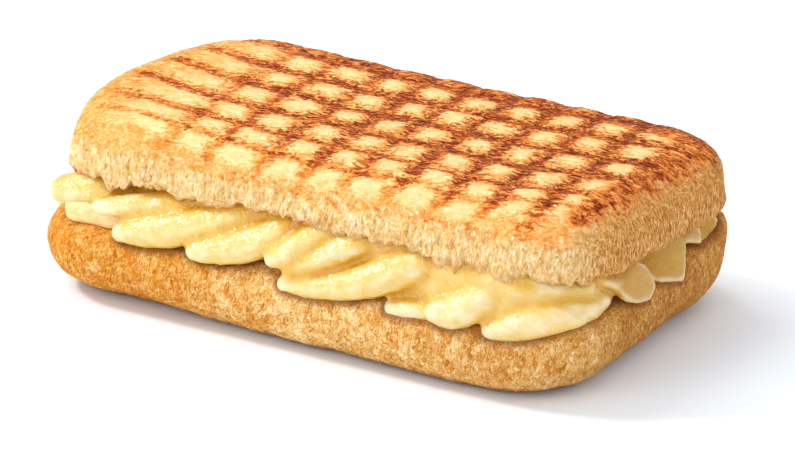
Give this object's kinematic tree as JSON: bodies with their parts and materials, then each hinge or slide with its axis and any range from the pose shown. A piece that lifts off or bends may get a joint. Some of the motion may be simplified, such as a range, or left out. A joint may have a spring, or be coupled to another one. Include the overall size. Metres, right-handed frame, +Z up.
{
  "type": "grilled cheese sandwich",
  "caption": "Pressed oblong grilled cheese sandwich: toasted bread halves with crosshatch grill marks, melted cheese running out at the front and ends.",
  "frame": {"origin": "middle of the flat underside of the bottom bread half, which is the bottom centre of the whole", "axes": "+X along the loaf, -Y the open front where most cheese runs out, +Z up"},
  "size_m": [0.1714, 0.1044, 0.0515],
  "materials": {
    "toasted_bread": "dry golden-brown bread crust, matte",
    "firm_cheese": "pale unmelted cheese, matte",
    "melted_cheese": "pale yellow melted cheese, glossy and slightly translucent",
    "grilled_bread": "toasted bread with brown crosshatch grill marks, matte"
  },
  "bodies": {
    "root": {"bread_bottom": "toasted_bread", "cheese_slice": "firm_cheese", "cheese_melted": "melted_cheese", "bread_top": "grilled_bread"}
  },
  "joints": []
}
